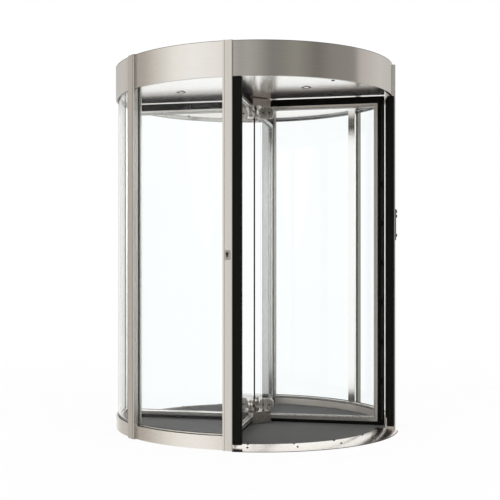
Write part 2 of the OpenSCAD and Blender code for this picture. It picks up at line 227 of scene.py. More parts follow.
# %% Lay the floor and hang the lamps
FLOOR_R = 40.0
OWN_WHITE = 0.9
LAMP_FAR = 5.0
LAMP_WIDTH = 50

bm = bmesh.new()
bmesh.ops.create_circle(bm, cap_ends=True, segments=64, radius=FLOOR_R)
floor_mesh = bpy.data.meshes.new("studio_floor")
bm.to_mesh(floor_mesh)
bm.free()
floor = bpy.data.objects.new("studio_floor", floor_mesh)
scene.collection.objects.link(floor)
floor.visible_glossy = False

white_floor = bpy.data.materials.new("white_floor")
white_floor.use_nodes = True
tree = white_floor.node_tree
matt = tree.nodes["Principled BSDF"]
matt.inputs["Base Color"].default_value = (0.96, 0.96, 0.96, 1.0)
matt.inputs["Roughness"].default_value = 1.0
matt.inputs["Specular IOR Level"].default_value = 0.0
glow = tree.nodes.new("ShaderNodeEmission")
path = tree.nodes.new("ShaderNodeLightPath")
seen = maths(tree, "MAXIMUM", path.outputs["Is Camera Ray"], path.outputs["Is Transmission Ray"])
blend = tree.nodes.new("ShaderNodeMixShader")
tree.links.new(maths(tree, "MULTIPLY", seen, OWN_WHITE), blend.inputs["Fac"])
tree.links.new(matt.outputs[0], blend.inputs[1])
tree.links.new(glow.outputs[0], blend.inputs[2])
tree.links.new(blend.outputs[0], tree.nodes["Material Output"].inputs["Surface"])
floor_mesh.materials.append(white_floor)


def soft_sun(name, azimuth, elevation, level):
    """A far lamp as wide as a window, which doesn't show in the steel."""
    data = bpy.data.lights.new(name, "SUN")
    data.energy = level
    data.angle = math.radians(LAMP_WIDTH)
    lamp = bpy.data.objects.new(name, data)
    rise = math.radians(elevation)
    lamp.location = at(azimuth, LAMP_FAR * math.cos(rise), LAMP_FAR * math.sin(rise))
    lamp.rotation_euler = (-lamp.location).to_track_quat("-Z", "Y").to_euler()
    lamp.visible_glossy = False
    scene.collection.objects.link(lamp)
    print("lamp", name, tuple(round(c, 2) for c in lamp.location))


soft_sun("left_window", -75, 26, 1.2)
soft_sun("front_fill", 10, 24, 0.9)

# %% [markdown]
# ## Helpers for finishes
# Nearly every finish here is one noise that drives three things: a small change of tone, a small change
# of shine, and a fine relief. So each of these is a helper of its own. The noise reads Object coordinates,
# and because every object sits at the origin, its scale is simply lumps per metre.

# %% Helpers for finishes
NOISE_LOW = 0.3
NOISE_HIGH = 0.7
RELIEF_STRENGTH = 0.5


def material(name):
    """A new material, its node tree and its shader."""
    mat = bpy.data.materials.new(name)
    mat.use_nodes = True
    return mat, mat.node_tree, mat.node_tree.nodes["Principled BSDF"]


def object_space(tree):
    """The coordinates of the object, in metres."""
    return tree.nodes.new("ShaderNodeTexCoord").outputs["Object"]


def noise(tree, scale, stretch=(1.0, 1.0, 1.0), detail=3.0, space=None):
    """A noise whose lumps are stretched by three factors."""
    mapping = tree.nodes.new("ShaderNodeMapping")
    mapping.inputs["Scale"].default_value = stretch
    tree.links.new(space or object_space(tree), mapping.inputs["Vector"])
    made = tree.nodes.new("ShaderNodeTexNoise")
    made.inputs["Scale"].default_value = scale
    made.inputs["Detail"].default_value = detail
    tree.links.new(mapping.outputs[0], made.inputs["Vector"])
    return made.outputs["Fac"]


def between(tree, fac, low, high):
    """Spreads a noise over two numbers."""
    return spread(tree, fac, NOISE_LOW, NOISE_HIGH, low, high)


def two_tones(tree, fac, dark, light):
    """Spreads a noise over two colours."""
    ramp = tree.nodes.new("ShaderNodeValToRGB")
    tones = ((NOISE_LOW, dark), (NOISE_HIGH, light))
    for stop, (position, colour) in zip(ramp.color_ramp.elements, tones):
        stop.position = position
        stop.color = (*colour, 1.0)
    tree.links.new(fac, ramp.inputs["Fac"])
    return ramp.outputs["Color"]


def relief(tree, shader, fac, depth):
    """Turns a noise into a fine relief."""
    bump = tree.nodes.new("ShaderNodeBump")
    bump.inputs["Strength"].default_value = RELIEF_STRENGTH
    bump.inputs["Distance"].default_value = depth
    tree.links.new(fac, bump.inputs["Height"])
    tree.links.new(bump.outputs[0], shader.inputs["Normal"])


print("helpers for finishes ready")

# %% [markdown]
# ## Brushed steel
# Stainless steel gets its satin look from a belt that scratches it one way. The scratches are finer than
# a millimetre across and run for a hand's width or more. One noise texture, squeezed hard across the
# grain and stretched along it, gives both the faint streaks of tone and the change in shine. The grain
# follows the way the piece was made: up the posts and the frames of the wings, round the drum on the
# fascia and rails, and straight across the hubs. For the round pieces the pattern reads angle, radius and
# height.

# %% Make the steels
GRAINS = {"up": (1.0, 1.0, 0.006), "round": (0.03, 1.0, 1.0), "along": (1.0, 0.02, 1.0)}
SCRATCHES_PER_METRE = 420
SCRATCH_DEPTH = 0.00002
SHINE_CHANGE = 0.15


def grain_space(tree, way):
    """Object coordinates, or angle round the drum, radius and height where the grain runs round."""
    place = object_space(tree)
    if way != "round":
        return place
    split = tree.nodes.new("ShaderNodeSeparateXYZ")
    tree.links.new(place, split.inputs[0])
    x, y, z = split.outputs
    flat = tree.nodes.new("ShaderNodeCombineXYZ")
    tree.links.new(x, flat.inputs["X"])
    tree.links.new(y, flat.inputs["Y"])
    radius = tree.nodes.new("ShaderNodeVectorMath")
    radius.operation = "LENGTH"
    tree.links.new(flat.outputs[0], radius.inputs[0])
    made = tree.nodes.new("ShaderNodeCombineXYZ")
    tree.links.new(maths(tree, "ARCTAN2", y, x), made.inputs["X"])
    tree.links.new(radius.outputs["Value"], made.inputs["Y"])
    tree.links.new(z, made.inputs["Z"])
    return made.outputs[0]


def steel(name, tone, shine, way, contrast=0.04, metal=1.0):
    """Brushed steel of a tone and a roughness, with its grain up, round the drum or along Y."""
    mat, tree, shader = material(name)
    scratch = noise(tree, SCRATCHES_PER_METRE, GRAINS[way], space=grain_space(tree, way))
    dark = tuple(c * (1 - contrast) for c in tone)
    light = tuple(min(1.0, c * (1 + contrast)) for c in tone)
    shines = between(tree, scratch, shine * (1 - SHINE_CHANGE), shine * (1 + SHINE_CHANGE))
    tree.links.new(two_tones(tree, scratch, dark, light), shader.inputs["Base Color"])
    tree.links.new(shines, shader.inputs["Roughness"])
    shader.inputs["Metallic"].default_value = metal
    relief(tree, shader, scratch, SCRATCH_DEPTH)
    return mat


steel_upright = steel("steel_upright", (0.87, 0.85, 0.815), 0.24, "up")
steel_round = steel("steel_round", (0.82, 0.80, 0.775), 0.17, "round", contrast=0.025)
steel_rail = steel("steel_rail", (0.83, 0.80, 0.765), 0.26, "round", contrast=0.02)
steel_wing = steel("steel_wing", (0.66, 0.645, 0.62), 0.22, "up")
steel_hub = steel("steel_hub", (0.53, 0.495, 0.46), 0.26, "along")
steel_patch = steel("steel_patch", (0.50, 0.465, 0.43), 0.28, "up", contrast=0.015)
steel_ceiling = steel("steel_ceiling", (1.0, 0.95, 0.915), 0.155, "round", contrast=0.01, metal=0.93)
steel_ramp = steel("steel_ramp", (0.96, 0.885, 0.83), 0.22, "round", contrast=0.02)
steel_plate = steel("steel_plate", (0.31, 0.30, 0.285), 0.30, "up")
steel_keyplate = steel("steel_keyplate", (0.52, 0.50, 0.475), 0.30, "up")
steel_switch = steel("steel_switch", (0.18, 0.177, 0.168), 0.30, "up")
steel_bead = steel("steel_bead", (0.40, 0.385, 0.365), 0.28, "up")
steel_lining = steel("steel_lining", (0.84, 0.77, 0.71), 0.45, "round", contrast=0.015)
steel_dark = steel("steel_dark", (0.09, 0.088, 0.085), 0.35, "up")
steel_liner = steel("steel_liner", (1.0, 0.97, 0.945), 0.16, "up", contrast=0.01)
print("steels made:", sum(mat.name.startswith("steel_") for mat in bpy.data.materials))

# %% [markdown]
# ## Glass, rubber and mat
# The panes are clear float glass, so pale that only a breath of blue-green shows against white. A plain
# transmission shader does that, and it lets the light of the lamps through as real glass does, by
# turning transparent for shadow rays. Its index is set lower than real glass has, because the mirror image
# on a pane is faint in a bright room. The black pieces are rubber and brush: nearly black, with a little
# mottling so that they don't look like holes. The mat is a dark ribbed carpet.

# %% Make the other finishes
BLACK_TINT = (1.0, 1.02, 0.84)
MOTTLE_DEPTH = 0.00008
PILE_DEPTH = 0.0012
RIB_SHARE = 0.35


def clear_glass(name, tint, ior):
    """Clear glass with a tint, as mirror-like as its index says, which lets lamp light through."""
    mat, tree, shader = material(name)
    shader.inputs["Base Color"].default_value = (*tint, 1.0)
    shader.inputs["Roughness"].default_value = 0.0
    shader.inputs["IOR"].default_value = ior
    shader.inputs["Transmission Weight"].default_value = 1.0
    path = tree.nodes.new("ShaderNodeLightPath")
    open_air = tree.nodes.new("ShaderNodeBsdfTransparent")
    open_air.inputs["Color"].default_value = (*tint, 1.0)
    mix = tree.nodes.new("ShaderNodeMixShader")
    tree.links.new(path.outputs["Is Shadow Ray"], mix.inputs["Fac"])
    tree.links.new(shader.outputs[0], mix.inputs[1])
    tree.links.new(open_air.outputs[0], mix.inputs[2])
    tree.links.new(mix.outputs[0], tree.nodes["Material Output"].inputs["Surface"])
    return mat


def black(name, dark, light, roughness, lump):
    """Black rubber, mottled between two greys, with lumps of a size in metres."""
    mat, tree, shader = material(name)
    mottle = noise(tree, 1 / lump)
    tones = [tuple(level * part for part in BLACK_TINT) for level in (dark, light)]
    tree.links.new(two_tones(tree, mottle, *tones), shader.inputs["Base Color"])
    tree.links.new(between(tree, mottle, roughness * 0.9, roughness * 1.1), shader.inputs["Roughness"])
    shader.inputs["Specular IOR Level"].default_value = 0.08
    relief(tree, shader, mottle, MOTTLE_DEPTH)
    return mat


def mat_pile(name):
    """Dark ribbed carpet: ribs across the way people walk, with a fine fleck in the pile."""
    mat, tree, shader = material(name)
    ribs = tree.nodes.new("ShaderNodeTexWave")
    ribs.bands_direction = "Y"
    ribs.inputs["Scale"].default_value = 36.0
    ribs.inputs["Distortion"].default_value = 0.6
    ribs.inputs["Detail"].default_value = 1.0
    tree.links.new(object_space(tree), ribs.inputs["Vector"])
    fleck = noise(tree, 480, detail=2.0)
    pile = maths(tree, "MULTIPLY_ADD", ribs.outputs["Fac"], RIB_SHARE, fleck)
    tones = two_tones(tree, pile, (0.088, 0.086, 0.084), (0.150, 0.148, 0.145))
    tree.links.new(tones, shader.inputs["Base Color"])
    shader.inputs["Roughness"].default_value = 0.95
    shader.inputs["Specular IOR Level"].default_value = 0.1
    relief(tree, shader, pile, PILE_DEPTH)
    return mat


wall_glass = clear_glass("wall_glass", (0.983, 1.0, 1.0), 1.22)
wing_glass = clear_glass("wing_glass", (0.985, 1.0, 1.0), 1.11)
seal_black = black("seal_black", 0.002, 0.004, 0.55, 0.006)
edge_rubber = black("edge_rubber", 0.003, 0.006, 0.6, 0.004)
rib_black = black("rib_black", 0.013, 0.019, 0.5, 0.004)
lock_grey = black("lock_grey", 0.012, 0.02, 0.4, 0.003)
gasket_black = black("gasket_black", 0.012, 0.022, 0.6, 0.004)
floor_carpet = mat_pile("floor_carpet")
print("glass, rubber and mat made")

# %% [markdown]
# ## Dressing the solids
# Each solid keeps its shape and gets its finish by name. A short list of name endings is enough, because
# the solids are named for what they are.

# %% Put the finishes on the solids
FINISHES = (
    ("_post", steel_upright),
    ("_safety_edges", edge_rubber),
    ("_edge_carriers", steel_plate),
    ("_base_rails", steel_rail),
    ("_fascia", steel_round),
    ("ceiling", steel_ceiling),
    ("top_cover", steel_round),
    ("downlights", steel_round),
    ("sensors", seal_black),
    ("_threshold", steel_ramp),
    ("floor_plate", steel_round),
    ("floor_mat", floor_carpet),
    ("key_switch", steel_keyplate),
    ("control_plate", steel_switch),
    ("_hub", steel_hub),
    ("_patches", steel_patch),
    ("_frame", steel_wing),
    ("_seals", seal_black),
)


def dress(obj, finish):
    """Gives an object one finish."""
    obj.data.materials.clear()
    obj.data.materials.append(finish)


for name, obj in nodes.items():
    if name.endswith("_glass"):
        dress(obj, wing_glass if name.startswith("wing_") else wall_glass)
        continue
    dress(obj, next(finish for ending, finish in FINISHES if name.endswith(ending)))
print("solids dressed:", len(nodes))

# %% [markdown]
# ## Helpers for new pieces
# The trim on a door like this is of two kinds. Straight strips are bars with round edges, modelled once at
# the origin and copied to every post or wing. Curved strips are a small outline spun round the pivot's
# axis. So three helpers model nearly everything, and a fourth one closes each piece and names the body
# that it rides on.

# %% Helpers for new pieces
MERGE = 1e-6
SMOOTH_BELOW = 20


def finish_piece(name, bm, finish, body):
    """Makes a mesh object of a finished bmesh, which rides on a body."""
    bmesh.ops.remove_doubles(bm, verts=bm.verts, dist=MERGE)
    bmesh.ops.recalc_face_normals(bm, faces=bm.faces)
    mesh = bpy.data.meshes.new(name)
    bm.to_mesh(mesh)
    bm.free()
    mesh.shade_smooth()
    mesh.set_sharp_from_angle(angle=math.radians(SMOOTH_BELOW))
    obj = bpy.data.objects.new(name, mesh)
    scene.collection.objects.link(obj)
    dress(obj, finish)
    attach(obj, body)
    print(name, "faces:", len(mesh.polygons))


def rounded_bar(bm, low, high, radius, place=Matrix.Identity(4)):
    """A bar between two corners, carried to a place, with every edge rounded."""
    low, high = Vector(low), Vector(high)
    made = bmesh.ops.create_cube(bm, size=1.0)["verts"]
    bmesh.ops.scale(bm, vec=high - low, verts=made)
    bmesh.ops.translate(bm, vec=(low + high) / 2, verts=made)
    bmesh.ops.transform(bm, matrix=place, verts=made)
    edges = list({e for v in made for e in v.link_edges})
    bmesh.ops.bevel(bm, geom=edges, offset=radius, segments=2, profile=0.5, affect="EDGES", material=-1)


def copy_to(bm, places):
    """Copies all that is in bm to each place and deletes what it was copied from."""
    first = [*bm.verts, *bm.edges, *bm.faces]
    for place in places:
        copied = bmesh.ops.duplicate(bm, geom=first)["geom"]
        verts = [g for g in copied if isinstance(g, bmesh.types.BMVert)]
        bmesh.ops.transform(bm, matrix=place, verts=verts)
    old = [g for g in first if isinstance(g, bmesh.types.BMVert)]
    bmesh.ops.delete(bm, geom=old, context="VERTS")


def spin_outline(bm, outline, start, stop, steps):
    """Spins a closed outline of radius and height points from one azimuth to another."""
    face = bm.faces.new([bm.verts.new(at(start, r, z)) for r, z in outline])
    bmesh.ops.spin(bm, geom=[face, *face.edges, *face.verts], cent=(0, 0, 0), axis=(0, 0, 1),
                   angle=math.radians(stop - start), steps=steps)


print("helpers for pieces ready")

# %% [markdown]
# ## Rubber gaskets round the wall glass
# A pane never touches its frame: a black rubber strip is pressed in on each face. Seen from outside it
# is the thin dark line beside each post and along the base rail. Beside the posts the strips are straight,
# so one pair is modelled at the origin and copied, mirrored where the pane leaves on the other side.

# %% Press gaskets in beside the posts
GLASS_IN = 0.900
GLASS_OUT = 0.910
POST_W = 0.060
MID_POST_W = 0.072
LIP_W = 0.002
LIP_DEPTH = 0.003
BITE = 0.0005
SIDES = {1: Matrix.Identity(4), -1: Matrix.Scale(-1, 4, (1, 0, 0))}

rail_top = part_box("right_base_rails")[1].z
ceiling_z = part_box("ceiling")[0].z
# Azimuth and width of each post, and the sides on which a pane leaves it
POSTS = (
    (-45, POST_W, (-1,)),
    (45, POST_W, (1,)),
    (135, POST_W, (-1,)),
    (225, POST_W, (1,)),
    (90, MID_POST_W, (-1, 1)),
    (270, MID_POST_W, (-1, 1)),
)


def beside_posts(width):
    """Places for a strip that was modelled on the side of a post of this width, where azimuths grow."""
    return [facing(azimuth) @ SIDES[side]
            for azimuth, post_w, sides in POSTS if post_w == width for side in sides]


def on_posts(width):
    """One place for each post of this width, with a pane on the side where X grows."""
    return [facing(azimuth) @ SIDES[sides[-1]] for azimuth, post_w, sides in POSTS if post_w == width]


LIPS = ((GLASS_OUT - BITE, GLASS_OUT + LIP_DEPTH), (GLASS_IN - LIP_DEPTH, GLASS_IN + BITE))
for width, name in ((POST_W, "opening_post"), (MID_POST_W, "mid_post")):
    side = width / 2
    bm = bmesh.new()
    for near, far in LIPS:
        rounded_bar(bm, (side, -far, rail_top), (side + LIP_W, -near, ceiling_z), radius=0.0008)
    copy_to(bm, beside_posts(width))
    finish_piece(name + "_gaskets", bm, gasket_black, "drum")

# %% [markdown]
# A post is two extrusions: an inner body that holds the glass, and a cover clipped on from outside. The
# cover is a little narrower, so it stands as a low step on the post, and a dark seam runs beside it: a black
# strip that is partly the joint and partly painted shade, the shadow line of the step. At
# an opening post the cover reaches the corner of the opening, and only the glass side shows the step.

# %% Clip the covers on the posts
POST_OUT = 0.947
FLANGE_W = 0.014
COVER_T = 0.0014
COVER_BITE = 0.001
COVER_FOOT = 0.001
SEAM_W = 0.0015
SEAM_T = 0.0005
CORNER = 0.003

post_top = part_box("left_mid_post")[1].z
for width, name, free in ((POST_W, "opening_post", CORNER), (MID_POST_W, "mid_post", FLANGE_W)):
    side = width / 2
    edge = side - FLANGE_W
    bm = bmesh.new()
    rounded_bar(bm, (-side + free, -POST_OUT - COVER_T, COVER_FOOT),
                (edge, -POST_OUT + COVER_BITE, post_top), radius=0.0009)
    copy_to(bm, on_posts(width))
    finish_piece(name + "_covers", bm, steel_upright, "drum")
    # The seam strip is black: the joint's dark line, widened into painted shade beside the step.
    bm = bmesh.new()
    rounded_bar(bm, (edge, -POST_OUT - SEAM_T, COVER_FOOT),
                (edge + SEAM_W, -POST_OUT + SEAM_T, post_top), radius=0.0003)
    copy_to(bm, beside_posts(width))
    finish_piece(name + "_seams_and_shade", bm, seal_black, "drum")

# %% [markdown]
# Inside the drum a middle post has a cover too. It is a polished strip, so it mirrors the bright panes and
# hardly shows between them.

# %% Cover the inside of the middle posts
LINER_T = 0.0008
LINER_INSET = 0.001

mat_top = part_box("floor_mat")[1].z
post_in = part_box("right_mid_post")[0].x
liner_side = MID_POST_W / 2 - LINER_INSET
bm = bmesh.new()
rounded_bar(bm, (-liner_side, -post_in - BITE, mat_top + LINER_INSET),
            (liner_side, -post_in + LINER_T, ceiling_z - LINER_INSET), radius=0.0005)
copy_to(bm, on_posts(MID_POST_W))
finish_piece("mid_post_liners", bm, steel_liner, "drum")

# %% [markdown]
# The safety edges on the opening posts are soft rubber on a flat metal carrier. The rubber wraps round
# the side of the carrier that faces the opening, so that nobody touches metal there. The wrap is a thin
# strip along that side.

# %% Wrap the carriers
WRAP_IN = 0.8864
WRAP_OUT = 0.8956
WRAP_T = 0.0012
CARRIER_SIDE = 0.074

carrier_low, carrier_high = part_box("front_edge_carriers")
bm = bmesh.new()
rounded_bar(bm, (-CARRIER_SIDE - WRAP_T, -WRAP_OUT, carrier_low.z),
            (-CARRIER_SIDE, -WRAP_IN, carrier_high.z), radius=0.0004)
copy_to(bm, on_posts(POST_W))
finish_piece("carrier_wraps", bm, edge_rubber, "drum")

# %% [markdown]
# Along its foot a pane stands in the base rail, and the gasket there follows the curve outside. Under the
# ceiling a bead of pale silicone seals the pane on both faces. Both have one small outline with a sloping
# crown, upright or upside down, spun from post to post.

# %% Lay gaskets along the rails and a bead under the ceiling
RAIL_GASKET_H = 0.0028
RAIL_GASKET_W = 0.004
CROWN_SHARE = 0.4
SLOPE_SHARE = 0.45
OUTER_FACE = (GLASS_OUT - BITE, 1)
INNER_FACE = (GLASS_IN + BITE, -1)
# Azimuth and width of the post at each end of a pane
SPANS = ((45, POST_W, 90, MID_POST_W), (90, MID_POST_W, 135, POST_W),
         (225, POST_W, 270, MID_POST_W), (270, MID_POST_W, 315, POST_W))


def half_angle(width, radius):
    """Half the angle that a post of some width takes at a radius."""
    return math.degrees(math.asin(width / 2 / radius))


def span_ends(span, radius, spare=0.0):
    """The azimuths between two posts at a radius, each post being wider by what is to spare."""
    a0, w0, a1, w1 = span
    return a0 + half_angle(w0 + spare, radius), a1 - half_angle(w1 + spare, radius)


silicone, tree, shader = material("silicone")
clouds = noise(tree, 90)
tones = two_tones(tree, clouds, (0.50, 0.50, 0.55), (0.62, 0.62, 0.66))
tree.links.new(tones, shader.inputs["Base Color"])
tree.links.new(between(tree, clouds, 0.35, 0.5), shader.inputs["Roughness"])

BEADS = (
    ("rail_gaskets", rail_top, 1, gasket_black, (OUTER_FACE,)),
    ("ceiling_beads", ceiling_z, -1, silicone, (OUTER_FACE, INNER_FACE)),
)
for name, z, up, finish, faces in BEADS:
    top = z + up * RAIL_GASKET_H
    slope = z + up * RAIL_GASKET_H * SLOPE_SHARE
    bm = bmesh.new()
    for span in SPANS:
        for glass, out in faces:
            edge = glass + out * RAIL_GASKET_W
            crown = glass + out * RAIL_GASKET_W * CROWN_SHARE
            outline = ((glass, z), (edge, z), (edge, slope), (crown, top), (glass, top))
            spin_outline(bm, outline, *span_ends(span, GLASS_OUT), steps=20)
    finish_piece(name, bm, finish, "drum")

# %% [markdown]
# Inside, the pane is held by a lining: a sheet with a satin finish that covers the rail's inner face and
# ends in a glazing bead against the glass. Its outline is drawn once and spun along each rail. A short flat
# piece carries it on across the middle post.

# %% Line the base rails
LINING_IN = 0.883
RAIL_IN = 0.8842
LINING_RISE = 0.0085
LINING_GAP = 0.0006
SHOULDER_H = 0.003
SHOULDER_W = 0.002
END_SPARE = 0.001
BRIDGE_SPARE = 0.002

lining_foot = mat_top + 0.001
lining_top = rail_top + LINING_RISE
lining_under = rail_top + 0.0002
lining_end = GLASS_IN - LINING_GAP
shoulder = lining_top - SHOULDER_H
outline = ((RAIL_IN, lining_foot), (LINING_IN, lining_foot), (LINING_IN, shoulder),
           (LINING_IN + SHOULDER_W, lining_top), (lining_end, lining_top),
           (lining_end, lining_under), (RAIL_IN, lining_under))
bm = bmesh.new()
for span in SPANS:
    spin_outline(bm, outline, *span_ends(span, RAIL_IN, END_SPARE), steps=24)
finish_piece("rail_linings", bm, steel_lining, "drum")

post_face = post_in - 0.0001
outline = ((post_face, lining_foot), (LINING_IN, lining_foot), (LINING_IN, shoulder), (post_face, lining_top))
reach = half_angle(MID_POST_W + BRIDGE_SPARE, LINING_IN)
bm = bmesh.new()
for middle in (90, 270):
    spin_outline(bm, outline, middle - reach, middle + reach, steps=6)
finish_piece("lining_bridges", bm, steel_lining, "drum")

# %% [markdown]
# A bright bead runs along the top of the lining, from one opening to the other. The joint under it is a dark
# line, and a soft strip closes the gap between the lining and the glass. All three are outlines of a few
# points, spun as the lining is.

# %% Bead, joint and strip on the linings
BEAD_FACE = 0.8818
BEAD_CHAMFER = 0.0008
JOINT_FACE = 0.8826
JOINT_H = 0.003
STRIP_FACE = 0.8960
STRIP_H = 0.004
STRIP_TIP = 0.001
WALLS = ((45, POST_W, 135, POST_W), (225, POST_W, 315, POST_W))

bead_low = rail_top - 0.0075
bead_top = rail_top + 0.0055
joint_low = bead_low - JOINT_H
strip_top = lining_top + STRIP_H
back = LINING_IN + 0.0002
LINING_STRIPS = (
    ("lining_beads", steel_ceiling, "polished_steel", WALLS,
     ((back, bead_low), (BEAD_FACE, bead_low + BEAD_CHAMFER),
      (BEAD_FACE, bead_top - BEAD_CHAMFER), (back, bead_top))),
    ("lining_joints", gasket_black, "black_seal", WALLS,
     ((back, joint_low), (JOINT_FACE, joint_low), (JOINT_FACE, bead_low), (back, bead_low))),
    ("lining_strips", gasket_black, "black_seal", SPANS,
     ((STRIP_FACE, lining_top), (GLASS_IN, lining_top),
      (GLASS_IN, strip_top), (GLASS_IN - STRIP_TIP, strip_top))),
)
for name, finish, slot, spans, outline in LINING_STRIPS:
    bm = bmesh.new()
    for span in spans:
        steps = round((span[2] - span[0]) / 2)
        spin_outline(bm, outline, *span_ends(span, BEAD_FACE, END_SPARE), steps)
    finish_piece(name, bm, finish, "drum")

# %% [markdown]
# ## Folded edges of the fascia
# A sheet as wide as the fascia would wave if its edges were bare, so they are folded inwards. The fold is
# a flat ring under the lower edge and on top of the upper one, made by spinning a small outline. It is
# finished in the dark plate steel, which paints the shade under the fascia's lower edge as a dark line.

# %% Fold the fascia's edges
FASCIA_IN = 0.927
FOLD_W = 0.013
FOLD_T = 0.0018
OPENINGS = ((-45, POST_W, 45, POST_W), (135, POST_W, 225, POST_W))
FASCIAS = (*OPENINGS, *SPANS)

fascia_foot, fascia_top = (corner.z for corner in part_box("front_fascia"))
fold_in = FASCIA_IN - FOLD_W
bm = bmesh.new()
for span in FASCIAS:
    for z, other in ((fascia_foot, fascia_foot + FOLD_T), (fascia_top, fascia_top - FOLD_T)):
        outline = ((FASCIA_IN, z), (FASCIA_IN, other), (fold_in, other), (fold_in, z))
        spin_outline(bm, outline, *span_ends(span, FASCIA_IN), steps=30)
# The dark plate steel on the folds is painted shade along the fascia's edge.
finish_piece("fascia_folds_painted_shade", bm, steel_plate, "drum")

# %% [markdown]
# Where the cover rests on the fascia, a thin rubber gasket keeps dust out of the canopy. Its lip turns down
# over the sheet's edge, and from below it is the fine dark line along the top.

# %% Lay the gasket under the cover
FASCIA_OUT = 0.930
GASKET_LIP = 0.0023
GASKET_PROUD = 0.0004

inner = FASCIA_OUT - GASKET_PROUD
outer = FASCIA_OUT + GASKET_PROUD
lip_low = fascia_top - GASKET_LIP
bm = bmesh.new()
for span in FASCIAS:
    outline = ((inner, lip_low), (outer, lip_low), (outer, fascia_top), (inner, fascia_top))
    spin_outline(bm, outline, *span_ends(span, FASCIA_OUT), steps=30)
finish_piece("cover_gaskets", bm, gasket_black, "drum")

# %% [markdown]
# ## Lamp lenses
# Each downlight has a frosted lens a little way up in its mouth. It is turned like a bowl: a profile with
# fine steps is spun round the lamp's own axis. The lens glows softly, so that it stays white in the
# polished ceiling, and a noise in its glow keeps it from being one flat white.

# %% Turn the lenses
LIGHT_R = 0.572
LENS_R = 0.0238
LENS_T = 0.0022
LENS_UP = 0.0012
LENS_RINGS = 5
RING_STEP = 0.0006
LAMP_SEGMENTS = 32
QUARTERS = (0, 90, 180, 270)

lens_white, tree, shader = material("lens_white")
frost = noise(tree, 260)
tones = two_tones(tree, frost, (0.86, 0.85, 0.82), (0.95, 0.94, 0.92))
tree.links.new(tones, shader.inputs["Base Color"])
tree.links.new(between(tree, frost, 0.35, 0.55), shader.inputs["Roughness"])
tree.links.new(between(tree, frost, 0.30, 0.42), shader.inputs["Emission Strength"])
shader.inputs["Emission Color"].default_value = (1.0, 0.98, 0.95, 1.0)


def turned(bm, profile, segments):
    """Spins a profile of radius and height points, closed by itself or by the axis, to a closed body."""
    verts = [bm.verts.new((r, 0.0, z)) for r, z in profile]
    edges = [bm.edges.new(pair) for pair in zip(verts, verts[1:])]
    bmesh.ops.spin(bm, geom=verts + edges, cent=(0, 0, 0), axis=(0, 0, 1), angle=math.tau,
                   steps=segments, use_merge=True)
    bmesh.ops.remove_doubles(bm, verts=bm.verts, dist=MERGE)


profile = [(0.0, 0.0)]
for ring in range(1, LENS_RINGS + 1):
    r = LENS_R * ring / LENS_RINGS
    profile += [(r - RING_STEP, RING_STEP), (r, 0.0)]
profile += [(LENS_R, LENS_T), (0.0, LENS_T)]
bm = bmesh.new()
turned(bm, profile, LAMP_SEGMENTS)
copy_to(bm, [facing(azimuth, LIGHT_R, ceiling_z - LENS_UP) for azimuth in QUARTERS])
finish_piece("lamp_lenses", bm, lens_white, "drum")

# %% [markdown]
# A flat black bezel under the lamp's rim narrows the mouth and hides the edge of the lens. Its section is a
# closed outline, so its last point is the first one again, and it is spun likewise.

# %% Turn the bezels
BEZEL_IN = 0.0175
BEZEL_OUT = 0.0310
BEZEL_T = 0.0006
RIM_UNDER = 0.0025

seat = 0.0003 - RIM_UNDER
under = -RIM_UNDER - BEZEL_T
profile = [(BEZEL_IN, seat), (BEZEL_IN + 0.0004, under), (BEZEL_OUT - 0.0008, under), (BEZEL_OUT, seat)]
bm = bmesh.new()
turned(bm, [*profile, profile[0]], LAMP_SEGMENTS)
copy_to(bm, [facing(azimuth, LIGHT_R, ceiling_z) for azimuth in QUARTERS])
finish_piece("lamp_bezels", bm, gasket_black, "drum")

# %% [markdown]
# ## Screws
# Every screw on the door has the same shape at another size: a low round head with a chamfer and a
# socket for the key. One function turns it, and a list of places copies it. The dark sockets are what
# the eye finds, so the heads are finished in a dark tone. On the ramps they stand square to the slope,
# one row in the middle and one beside the mat.

# %% A screw, and the screws in the ramps
SCREW_SEGMENTS = 20
RAMP_SCREW_R = 0.0065
RAMP_IN = 0.828
RAMP_W = 0.137
RAMP_NOSE = 0.002
SCREW_AZIMUTHS = (-38, -19, 0, 19, 38)
# Each row's name, its way from the inner edge of the ramp, and the height of its heads
SCREW_ROWS = (("ramp_screws", 0.077, 0.003), ("mat_side_screws", 0.009, 0.004))


def screw(radius, height):
    """A turned screw head that stands on z = 0, with a socket."""
    bm = bmesh.new()
    chamfer = height * 0.35
    socket = radius * 0.5
    turned(bm, ((0.0, -height), (radius, -height), (radius, height - chamfer), (radius - chamfer, height),
                (socket, height), (socket, height * 0.2), (0.0, height * 0.05)), SCREW_SEGMENTS)
    return bm


ramp_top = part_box("front_threshold")[1].z
ramp_fall = ramp_top - RAMP_NOSE
ramp_arc = (RAMP_W ** 2 + ramp_fall ** 2) / (2 * ramp_fall)


def on_ramp(azimuth, radius):
    """A place on the arc of a threshold ramp, with +Z square to its surface."""
    slope = math.asin((radius - RAMP_IN) / ramp_arc)
    z = ramp_top - ramp_arc * (1 - math.cos(slope))
    return facing(azimuth, radius, z) @ Matrix.Rotation(slope, 4, "X")


for name, inset, height in SCREW_ROWS:
    bm = screw(RAMP_SCREW_R, height)
    copy_to(bm, [on_ramp(middle + azimuth, RAMP_IN + inset)
                 for middle in (0, 180) for azimuth in SCREW_AZIMUTHS])
    finish_piece(name, bm, rib_black, "drum")

# %% [markdown]
# A bead of dark sealant closes the joint between the nose of each ramp and the floor. Its dark line also
# stands in for the ramp's contact shadow on the floor, as painted shade. It is a low wedge
# that runs from post to post.

# %% Seal the ramps to the floor
RAMP_OUT = RAMP_IN + RAMP_W
SEALANT_H = 0.003
SEALANT_W = 0.0015
SEALANT_SPARE = 0.002

